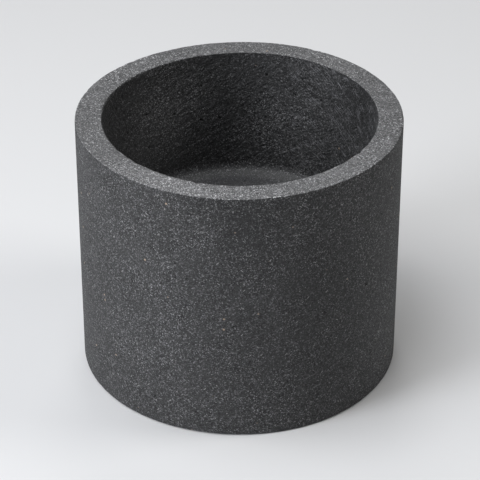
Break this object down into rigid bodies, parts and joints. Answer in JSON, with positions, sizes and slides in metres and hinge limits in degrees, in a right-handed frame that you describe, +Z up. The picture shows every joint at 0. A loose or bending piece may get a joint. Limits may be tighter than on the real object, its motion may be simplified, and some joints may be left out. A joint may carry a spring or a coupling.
{
  "type": "foundry crucible",
  "caption": "Straight-sided round foundry crucible with a thick wall, a shallow tapered cavity, a flat rim and a deep solid base.",
  "frame": {"origin": "centre of the flat base, on the pot's axis", "axes": "+Z up along the pot's axis, out of the cavity's mouth; X and Y lie in the base and are alike"},
  "size_m": [0.15, 0.15, 0.126],
  "materials": {
    "refractory": "matte"
  },
  "bodies": {
    "root": {"crucible_body": "refractory"}
  },
  "joints": []
}
